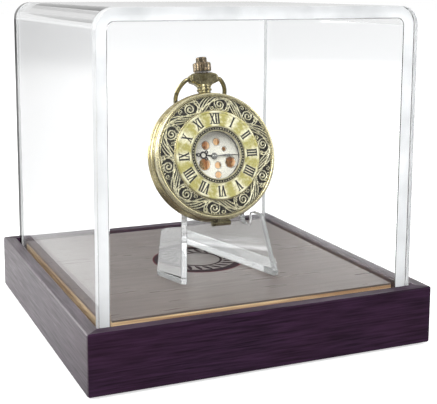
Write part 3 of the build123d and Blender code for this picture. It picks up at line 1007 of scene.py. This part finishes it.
# %% Bow
BOW_REST = math.radians(140)
BOW_PIN_Y = 28.4
BOW_END, BOW_PIN, BOW_RADIUS, BOW_WIRE = 6.3, 4.12, 9.5, 0.8
BOW_STEPS = 72
bow_rise = math.sqrt(BOW_RADIUS**2 - BOW_END**2)
start_angle = math.pi + math.atan2(bow_rise, BOW_END)
end_angle = -math.atan2(bow_rise, BOW_END)
bow_path = [(-BOW_PIN, 0), (-BOW_END + 0.5, 0), (-BOW_END + 0.1, 0.05)]
for k in range(1, BOW_STEPS):
    a = start_angle + (end_angle - start_angle) * k / BOW_STEPS
    bow_path.append((BOW_RADIUS * math.cos(a), bow_rise + BOW_RADIUS * math.sin(a)))
bow_path += [(BOW_END - 0.1, 0.05), (BOW_END - 0.5, 0), (BOW_PIN, 0)]
swung = []
for x, y in bow_path:
    swung.append((x, BOW_PIN_Y + y * math.cos(BOW_REST), STEM_Z - y * math.sin(BOW_REST)))
bow = make("Bow", [tube(swung, BOW_WIRE, 24)], angle=60)
dress(bow, bow_gilt, "bow", "case_gold", "bow")

# %% [markdown]
# ## Lid
# The half-hunter lid is a dished ring round a small window. Between its polished border and
# the numeral plate a band slopes up inwards, and the relief lies on it: `slope` gives the
# band's height at any point, for the ground and for every stroke.

# %% Lid body
SLOPE_INNER, SLOPE_OUTER = 15.6, 21.2
SLOPE_LOW, SLOPE_RISE = 5.12, 0.86


def slope(x, y):
    r = min(max(math.hypot(x, y), SLOPE_INNER), SLOPE_OUTER)
    return SLOPE_LOW + (SLOPE_OUTER - r) / (SLOPE_OUTER - SLOPE_INNER) * SLOPE_RISE


lid_profile = [(22.5, 2.9), (22.5, 4.6), (22.35, 5.15), (22.0, 5.45), (21.6, 5.45)]
lid_profile += [(21.3, 5.22), (SLOPE_OUTER, SLOPE_LOW), (SLOPE_INNER, 5.98), (15.5, 6.1)]
lid_profile += [(8.5, 6.1), (8.5, 4.2), (21.2, 4.2), (21.9, 2.9)]
lid = make("Lid_ground", [lathe(lid_profile, 200)], angle=40)
dress(lid, ground_dark, "lid", "lid_silver", "lid")

# %% [markdown]
# Three polished lines edge the band: the rounded rim, a thin line inside it, and one round the
# numeral plate. They are spun over the ground as one piece. The lid's own hinge knuckle sits
# between the two on the case.

# %% Lid borders and knuckle
rim_profile = [(22.52, 3.4), (22.52, 4.6), (22.4, 5.2), (22.0, 5.52), (21.6, 5.52)]
rim_profile += [(21.32, 5.3), (21.25, 5.0), (21.5, 4.6)]
inner_line = eased([(21.12, 5.08), (21.12, 5.32), (20.86, 5.36), (20.84, 5.1)], 0.1, 2)
plate_line = eased([(16.1, 5.8), (16.1, 6.1), (15.62, 6.16), (15.6, 5.8)], 0.12, 2)
border_shapes = [lathe(rim_profile, 200), lathe(inner_line, 200), lathe(plate_line, 180)]
borders = make("Lid_borders", border_shapes, angle=50)
dress(borders, rim_gilt, "lid", "lid_silver")
lid_knuckle = make("Lid_knuckle", knuckle(-1.4, 1.4, 2.9, 3.65), angle=50)
dress(lid_knuckle, bow_gilt, "lid", "lid_silver")

# %% [markdown]
# ### Scroll relief
# The band carries a running scroll: a stem waves along it, each hollow of the wave holds a
# spiral, and leaves and combed lines follow it. A bump map would look flat at the edges, so
# each line is a real raised stroke. One fifth of the ring is drawn and the ring array repeats
# it. `u` runs along the band and `v` across it, in millimetres from the band's middle line.

# %% Paths on the band
BAND_MIDDLE = 18.45
REPEATS = 5
PERIOD = 2 * math.pi * BAND_MIDDLE / REPEATS


def on_band(u, v):
    v = max(-2.5, min(2.4, v))
    a = u / BAND_MIDDLE
    r = BAND_MIDDLE + v
    return r * math.cos(a), r * math.sin(a)


def band_path(count, at):
    return [on_band(*at(k / count)) for k in range(count + 1)]


def spiral(u, v, start, turns, radius, hand, end=0.28, count=34):
    def at(t):
        a = start + hand * 2 * math.pi * turns * t
        r = radius + (end - radius) * t**0.85
        return u + r * math.cos(a), v + r * math.sin(a)

    return band_path(count, at)


print("one repeat of the scroll, mm:", round(PERIOD, 1))


# %% [markdown]
# The wave, the combed lines beside it, the bows round each spiral and the small leaves at the
# edges each have their own path. `hand` is 1 or -1: it flips a figure across the band, so the
# two halves of a repeat mirror each other as a running scroll does.

# %% Figures of the scroll
def wave_stem(u0, hand):
    def at(t):
        u = u0 - 2.4 + (PERIOD / 2 + 2.2) * t
        return u, hand * (2.15 * math.cos(math.pi * t) - 0.1)

    return band_path(24, at)


def comb_line(start, reach, hand):
    def at(t):
        v = 2.3 * math.cos(math.pi * t) - 0.2 * math.sin(2 * math.pi * t)
        return start + reach * t, hand * v

    return band_path(16, at)


def round_bow(u0, radius, hand):
    def at(t):
        a = math.pi * (0.62 + 0.76 * t)
        v = -0.25 * hand + 0.95 * radius * math.sin(a) * hand
        return u0 + radius * math.cos(a), v

    return band_path(12, at)


def leaf(u, lean_by, hand):
    (u0, v0), (u1, v1), (u2, v2) = (
        (u, -hand * 2.45), (u + 0.5 * lean_by, -hand * 2.2), (u + lean_by, -hand * 1.75)
    )

    def at(t):
        first, middle, last = (1 - t) ** 2, 2 * t * (1 - t), t * t
        return first * u0 + middle * u1 + last * u2, first * v0 + middle * v1 + last * v2

    return band_path(8, at)


# %% Lay the strokes
SCROLL_SEED = 7
rng = random.Random(SCROLL_SEED)
strokes = []


def lay(path, width, height):
    strokes.append(stroke(path, width, height, slope))


for half, hand in enumerate((1, -1)):
    u0 = PERIOD / 2 * half + 2.9
    tilt = rng.uniform(-0.2, 0.2)
    middle = -0.25 * hand
    outer_start = math.pi * 0.5 * hand + tilt
    inner_start = math.pi * 0.9 * hand + tilt
    lay(spiral(u0, middle, outer_start, 1.9, 2.3, -hand), 0.52, 0.34)
    lay(spiral(u0 + 0.05, middle, inner_start, 1.15, 1.45, -hand, 0.5), 0.26, 0.22)
    lay(wave_stem(u0, hand), 0.5, 0.36)
    for j in range(4):
        reach = 6.4 + rng.uniform(-0.3, 0.3)
        lay(comb_line(u0 + 0.6 + 1.35 * j, reach, hand), 0.46, 0.34)
    for j in range(2):
        lay(round_bow(u0, 3.0 + 0.8 * j, hand), 0.42, 0.3)
    for j in range(6):
        lean_by = rng.uniform(0.3, 0.8) * hand
        lay(leaf(u0 - 2.2 + 0.85 * j, lean_by, hand), 0.36, 0.26)
    curl = spiral(u0 + 8.4, 1.45 * hand, -math.pi * 0.5 * hand, 1.3, 0.95, hand, 0.2, 22)
    lay(curl, 0.4, 0.42)
    bud = spiral(u0 + 3.2, -1.5 * hand, math.pi * 0.3 * hand, 1.2, 0.9, -hand, 0.2, 20)
    lay(bud, 0.4, 0.42)

scroll = ring_of("Scroll_relief", strokes, REPEATS, scroll_gilt, angle=60)
dress(scroll, scroll_gilt, "lid", "lid_silver")

# %% [markdown]
# ### Numeral plate and minute track
# Both are turned rings with raised edges, so each is one lathe profile. They stand for the
# two CAD rings on the lid.

# %% Rings
plate_profile = [(10.25, 6.1), (10.25, 6.95), (10.38, 7.12), (10.7, 7.12), (10.85, 6.9)]
plate_profile += [(14.85, 6.9), (15.0, 7.14), (15.4, 7.14), (15.6, 6.95), (15.6, 6.1)]
numeral_plate = make("Numeral_plate", [lathe(plate_profile, 180)], angle=35)
dress(numeral_plate, numeral_gold, "lid", "numeral_gold", "lid_numeral_ring")

track_profile = [(8.5, 6.1), (8.5, 6.85), (8.62, 7.0), (8.84, 7.0), (8.93, 6.78)]
track_profile += [(9.87, 6.78), (9.96, 7.0), (10.2, 7.0), (10.24, 6.1)]
minute_track = make("Minute_track_ring", [lathe(track_profile, 160)], angle=35)
dress(minute_track, track, "lid", "tick_ring", "lid_tick_ring")

# %% [markdown]
# A bead stands in the track's groove for each minute. One small dome is drawn, and the ring
# array makes sixty of it.

# %% Minute beads
MINUTES = 60


def dome(radius, x, y, z, rings=4, sides=10):
    points = []
    for i in range(rings):
        t = math.pi / 2 * i / rings
        level = z + radius * math.sin(t)
        points += [(px, py, level) for px, py in circle(radius * math.cos(t), sides, x, y)]
    points.append((x, y, z + radius))
    top, last = len(points) - 1, (rings - 1) * sides
    faces = skin(rings, sides)
    faces += [(last + k, last + (k + 1) % sides, top) for k in range(sides)]
    faces.append(tuple(reversed(range(sides))))
    return points, faces


minute_bead = dome(0.28, TRACK_MIDDLE, 0, 6.76)
beads = ring_of("Track_beads", [minute_bead], MINUTES, bead_gilt, angle=80)
dress(beads, bead_gilt, "lid", "tick_ring")

# %% [markdown]
# ### Roman numerals
# The hours are enamelled in black, with their feet towards the dial's centre. A text object
# would bring in a typeface. Three letters are all that is needed, so each is drawn as a few
# straight bars, thick and thin, with a serif at every end. Overlapping bars end at slightly
# different heights, so that no two faces share a plane.

# %% Letters
ADVANCE = {"I": 0.92, "V": 1.95, "X": 1.95}
LETTER_GAP = 0.22
HIGH = 3.85
THICK, THIN = 0.29, 0.16
SERIF, SERIF_HALF = 0.26, 0.44


def letter(kind, left):
    wide = ADVANCE[kind] - LETTER_GAP
    right = left + wide
    middle = left + wide / 2
    if kind == "I":
        bars = [(middle, 0, middle, HIGH, THICK)]
        feet = [(middle, 0), (middle, HIGH)]
    elif kind == "V":
        bars = [(left + 0.25, HIGH, middle, 0, THICK), (right - 0.2, HIGH, middle, 0, THIN)]
        feet = [(left + 0.25, HIGH), (right - 0.2, HIGH)]
    else:
        west, east = left + 0.2, right - 0.2
        bars = [(west, HIGH, east, 0, THICK), (east, HIGH, west, 0, THIN)]
        feet = [(west, HIGH), (east, HIGH), (west, 0), (east, 0)]
    outlines = []
    for x0, y0, x1, y1, half in bars:
        outlines.append([(x0 - half, y0), (x0 + half, y0), (x1 + half, y1), (x1 - half, y1)])
    for x, y in feet:
        low = y if y == 0 else y - SERIF
        west, east = x - SERIF_HALF, x + SERIF_HALF
        outlines.append([(west, low), (east, low), (east, low + SERIF), (west, low + SERIF)])
    return outlines


# %% Numerals
NUMERALS = ["XII", "I", "II", "III", "IIII", "V", "VI", "VII", "VIII", "IX", "X", "XI"]
NUMERAL_FOOT = 10.95
INK_LOW, INK_HIGH, INK_STEP = 6.85, 7.0, 0.004


def anticlockwise(outline):
    pairs = zip(outline, outline[1:] + outline[:1])
    turning = sum((bx - ax) * (by + ay) for (ax, ay), (bx, by) in pairs)
    return outline[::-1] if turning > 0 else outline


ink_shapes = []
for hour, word in enumerate(NUMERALS):
    left = -(sum(ADVANCE[c] for c in word) - LETTER_GAP) / 2
    hour_angle = -2 * math.pi * hour / HOURS
    for c in word:
        for n, outline in enumerate(letter(c, left)):
            raised = [(x, y + NUMERAL_FOOT) for x, y in anticlockwise(outline)]
            bar = rotated(raised, hour_angle)
            ink_shapes.append(prism(bar, INK_LOW, INK_HIGH + INK_STEP * n))
        left += ADVANCE[c]
numerals = make("Roman_numerals", ink_shapes, angle=30)
dress(numerals, ink, "lid", "numeral_gold")

# %% [markdown]
# The lid's window and the crystal under it are plain domed glasses, so the CAD solids stay.

# %% Watch glasses
paint(watch_glass, "lid_glass", "crystal")

# %% [markdown]
# ## Dial and movement
# Round openings in the dial let the movement show. The CAD dial has them already, so a
# bevelled copy is enough, and thin wire rings make their raised, polished rims. The solids of
# the movement stay and get their metals.

# %% Dial and movement
dial = bevelled("dial", "Dial", 0.12)
dress(dial, dial_white, "watch", "dial_white", "dial")
paint(plate_brass, "main_plate")
paint(bridge_brass, "train_bridge", "balance_cock")
paint(wheel_brass, "barrel", "centre_wheel", "third_wheel", "fourth_wheel", "balance_wheel")
paint(steel, "escape_wheel", "pallet_lever")

# %% Opening rims
OPENINGS = [(-2.7, 4.0, 1.5), (1.5, 5.1, 1.3), (4.2, 2.4, 0.8), (-3.7, -2.7, 2.1)]
OPENINGS += [(1.3, -3.3, 1.2), (6.2, -2.5, 2.0), (1.1, -6.7, 1.2)]
RIM_Z, RIM_GAP, RIM_WIRE = 1.9, 0.08, 0.11
rims = []
for x, y, r in OPENINGS:
    rim_path = [(px, py, RIM_Z) for px, py in circle(r + RIM_GAP, 40, x, y)]
    rims.append(tube(rim_path, RIM_WIRE, 8, closed=True))
dress(make("Opening_rims", rims, angle=80), hand_steel, "watch", "dial_white")

# %% [markdown]
# ## Hands
# It is a quarter past nine. The black hour hand is a pierced spade: rings of wire with a short
# shank and a tip. The pale minute hand is a slim lance. Both are drawn pointing to twelve and
# turned to the time. The pieces of a hand overlap a little, as soldered work does.

# %% Hour hand
HOUR_AT = math.radians(-277.5)


def ring_shape(x, y, inner, outer, low, high, steps=28):
    points = []
    for k in range(steps):
        a = 2 * math.pi * k / steps
        for r, z in ((inner, low), (outer, low), (outer, high), (inner, high)):
            points.append((x + r * math.cos(a), y + r * math.sin(a), z))
    return points, skin(steps, 4, closed=True)


SPADE_RINGS = [(0, 4.1, 0.85, 1.35), (-1.15, 3.0, 0.3, 0.62), (1.15, 3.0, 0.3, 0.62)]
SPADE_RINGS += [(0, 5.9, 0.35, 0.68)]
SHANK = [(-0.28, 1.0), (0.28, 1.0), (0.2, 2.9), (-0.2, 2.9)]
TIP = [(-0.55, 6.45), (0, 6.25), (0.55, 6.45), (0, 8.2)]
hour_parts = [ring_shape(0, 0, 0.56, 1.15, 2.25, 2.5), ring_shape(0, 0, 0.56, 0.9, 1.56, 2.3)]
for x, y, inner, outer in SPADE_RINGS:
    centre = rotated([(x, y)], HOUR_AT)[0]
    hour_parts.append(ring_shape(*centre, inner, outer, 2.26, 2.49))
for outline in (SHANK, TIP):
    hour_parts.append(prism(rotated(outline, HOUR_AT), 2.27, 2.48))
hour_hand = make("Hour_hand", hour_parts, angle=30)
dress(hour_hand, hand_black, "hour", "blued_steel", "hour_hand")

# %% Minute hand
MINUTE_AT = math.radians(-90)
LANCE = [(-0.3, 0.6), (-0.2, 2.0), (-0.5, 5.2), (-0.18, 7.0), (-0.05, 16.0)]
LANCE += [(-x, y) for x, y in reversed(LANCE)]
CAP = [(0.01, 2.7), (0.5, 2.7), (0.48, 2.9), (0.3, 2.97), (0.01, 2.98)]
minute_parts = [prism(rotated(LANCE[::-1], MINUTE_AT), 2.67, 2.85)]
minute_parts += [ring_shape(0, 0, 0.3, 1.05, 2.66, 2.9), lathe(CAP, 32)]
minute_hand = make("Minute_hand", minute_parts, angle=30)
dress(minute_hand, hand_steel, "minute", "pale_steel", "minute_hand")

# %% [markdown]
# ## What rays see
# The box stands on white paper before a white wall, and clear acrylic shows that white
# straight through. A mirror-like face shows a real room instead, darker on the side where one
# stands to look. One colour can't do both, so the floor and the world ask Light Path which ray
# has come: `direct` is 1 for a ray from the eye, also through glass, and `mirrored` is 1 once
# a ray has been reflected.

# %% Light Path switch
def ray_kinds(tree):
    rays = node(tree, "ShaderNodeLightPath")
    mirrored = math_node(tree, "GREATER_THAN", rays.outputs["Glossy Depth"], 0.5)
    camera_ray, through_ray = rays.outputs["Is Camera Ray"], rays.outputs["Is Transmission Ray"]
    looking = math_node(tree, "MAXIMUM", camera_ray, through_ray)
    direct = math_node(tree, "MULTIPLY", looking, math_node(tree, "SUBTRACT", 1.0, mirrored))
    return mirrored, direct


# %% [markdown]
# ## Floor
# White to the eye, with the object's soft shadow on it. In a reflection it is grey behind the
# object and dark before it, and close behind and beside the object it is brighter: that part
# gives the base's polished sides their glare.

# %% Floor material
PAPER = (0.9, 0.9, 0.9)
SEEN_BEHIND, SEEN_CLOSE, SEEN_BEFORE = (0.42, 0.42, 0.42), (0.7, 0.7, 0.7), (0.10, 0.10, 0.11)
floor_white, tree, shader = new_material("White floor", color=PAPER, rough=0.9)
mirrored, direct = ray_kinds(tree)
place_on_floor = box_coords(tree, (1, 1, 1))
split = node(tree, "ShaderNodeSeparateXYZ", Vector=place_on_floor)
front_side = ranged(tree, split.outputs[1], 0.02, -0.12)
near = ranged(tree, distance_from_axis(tree, place_on_floor), 0.24, 0.12)
behind_color = mix_color(tree, near, SEEN_BEHIND, SEEN_CLOSE)
reflected = mix_color(tree, front_side, behind_color, SEEN_BEFORE)
feed(tree, mix_color(tree, mirrored, PAPER, reflected), shader, "Base Color")

# %% [markdown]
# A shaded white floor is never quite white, so it also glows: fully for direct rays, faintly
# for mirrored rays close behind the object.

# %% Floor glow
GLOW = 0.62
GLARE_SHARE = 0.15
back_side = math_node(tree, "SUBTRACT", 1.0, front_side)
near_behind = math_node(tree, "MULTIPLY", near, back_side)
near_mirrored = math_node(tree, "MULTIPLY", near_behind, mirrored)
glare = math_node(tree, "MULTIPLY", near_mirrored, GLARE_SHARE)
glow_share = math_node(tree, "MAXIMUM", direct, glare)
glow = node(tree, "ShaderNodeEmission", Color=(1, 1, 1, 1), Strength=GLOW)
no_glow = node(tree, "ShaderNodeEmission", Color=(0, 0, 0, 1), Strength=0.0)
glowing = mix_shader(tree, glow_share, no_glow, glow)
lit_floor = node(tree, "ShaderNodeAddShader")
tree.links.new(shader.outputs[0], lit_floor.inputs[0])
tree.links.new(glowing.outputs[0], lit_floor.inputs[1])
tree.links.new(lit_floor.outputs[0], tree.nodes["Material Output"].inputs[0])

# %% Floor
FLOOR_HALF = 4
corners = [(-1, -1), (1, -1), (1, 1), (-1, 1)]
floor_mesh = bpy.data.meshes.new("Floor")
floor_points = [(x * FLOOR_HALF, y * FLOOR_HALF, 0) for x, y in corners]
floor_mesh.from_pydata(floor_points, [], [(0, 1, 2, 3)])
floor_mesh.materials.append(floor_white)
floor = bpy.data.objects.new("Floor", floor_mesh)
bpy.context.scene.collection.objects.link(floor)
print("floor side, metres:", 2 * FLOOR_HALF)

# %% [markdown]
# ## Camera
# The camera stands where the photograph was taken from. Its place, direction and focal length
# come from the edges of the base and the cover, which are known sizes. The lens shift stands
# for the photograph's crop.

# %% Camera
CAMERA_AT = Vector((-132.77, -315.7, 119.29)) * MM
YAW, PITCH, ROLL = math.radians(22.887), math.radians(8.689), math.radians(0.155)
FOCAL_LENGTH, SENSOR_WIDTH = 78.77, 36
CROP_SHIFT = (0.0423, -0.1533)
flat_ahead = math.cos(PITCH)
ahead = Vector((math.sin(YAW) * flat_ahead, math.cos(YAW) * flat_ahead, -math.sin(PITCH)))
right = Vector((math.cos(YAW), -math.sin(YAW), 0))
above = right.cross(ahead)
right_rolled = right * math.cos(ROLL) + above * math.sin(ROLL)
above_rolled = above * math.cos(ROLL) - right * math.sin(ROLL)
lens = bpy.data.cameras.new("Photo camera")
lens.lens = FOCAL_LENGTH
lens.sensor_width = SENSOR_WIDTH
lens.shift_x, lens.shift_y = CROP_SHIFT
lens.clip_start = 0.01
camera = bpy.data.objects.new("Photo camera", lens)
axes = Matrix((right_rolled, above_rolled, -ahead)).transposed().to_4x4()
camera.matrix_world = Matrix.Translation(CAMERA_AT) @ axes
bpy.context.scene.collection.objects.link(camera)
bpy.context.scene.camera = camera
print("focal length, mm:", FOCAL_LENGTH)

# %% [markdown]
# ## World
# The world is the room's walls and ceiling. Direct rays see plain white. Other rays get a
# softer light, and a mirrored ray sees the room darker towards the front and brighter above.
# Many lamps could build that room, but one world with a gradient is plainer and leaves no
# noise.

# %% World
ROOM_LIGHT = 0.55
world = bpy.data.worlds.new("Studio")
bpy.context.scene.world = world
world.use_nodes = True
tree = world.node_tree
tree.nodes.clear()
mirrored, direct = ray_kinds(tree)
coords = node(tree, "ShaderNodeTexCoord")
facing = node(tree, "ShaderNodeSeparateXYZ", Vector=coords.outputs["Generated"])
backwards = ranged(tree, facing.outputs[1], -0.75, 0.35, 0.1, 1.0)
upwards = ranged(tree, facing.outputs[2], 0.1, 0.6, 0.0, 0.35)
mirrored_level = math_node(tree, "ADD", backwards, upwards, clamp=True)
mirrored_room = node(tree, "ShaderNodeBackground", Strength=mirrored_level)
soft_light = node(tree, "ShaderNodeBackground", Color=(0.98, 0.99, 1.0, 1), Strength=ROOM_LIGHT)
plain_white = node(tree, "ShaderNodeBackground", Color=(1, 1, 1, 1), Strength=1.0)
unseen = mix_shader(tree, mirrored, soft_light, mirrored_room)
studio = mix_shader(tree, direct, unseen, plain_white)
out = tree.nodes.new("ShaderNodeOutputWorld")
tree.links.new(studio.outputs[0], out.inputs[0])
print("world nodes:", len(tree.nodes))


# %% [markdown]
# ## Lamps
# Three soft boxes: a key light from the front left for the watch, a weak fill from the right,
# and a large one behind on the left that shines along the side of the base. Their power is
# low, so pale parts don't clip.

# %% Lamps
def soft_box(name, at, aim, size, power):
    data = bpy.data.lights.new(name, "AREA")
    data.shape = "RECTANGLE"
    data.size, data.size_y = size
    data.energy = power
    lamp = bpy.data.objects.new(name, data)
    lamp.location = at
    lamp.rotation_euler = (Vector(aim) - Vector(at)).to_track_quat("-Z", "Y").to_euler()
    bpy.context.scene.collection.objects.link(lamp)
    print(f"{name}: {power} W")


soft_box("Key", (-0.35, -0.55, 0.62), (0, 0, 0.05), (0.5, 0.5), 5.2)
soft_box("Fill", (0.7, -0.45, 0.4), (0, 0, 0.05), (0.5, 0.5), 2.0)
soft_box("Back left", (-0.85, 0.75, 0.35), (-0.05, 0, 0.02), (0.9, 0.6), 9.0)

# %% [markdown]
# ## Finish
# Standard view transform shows a colour as it is written.

# %% Finish
bpy.context.scene.view_settings.view_transform = "Standard"
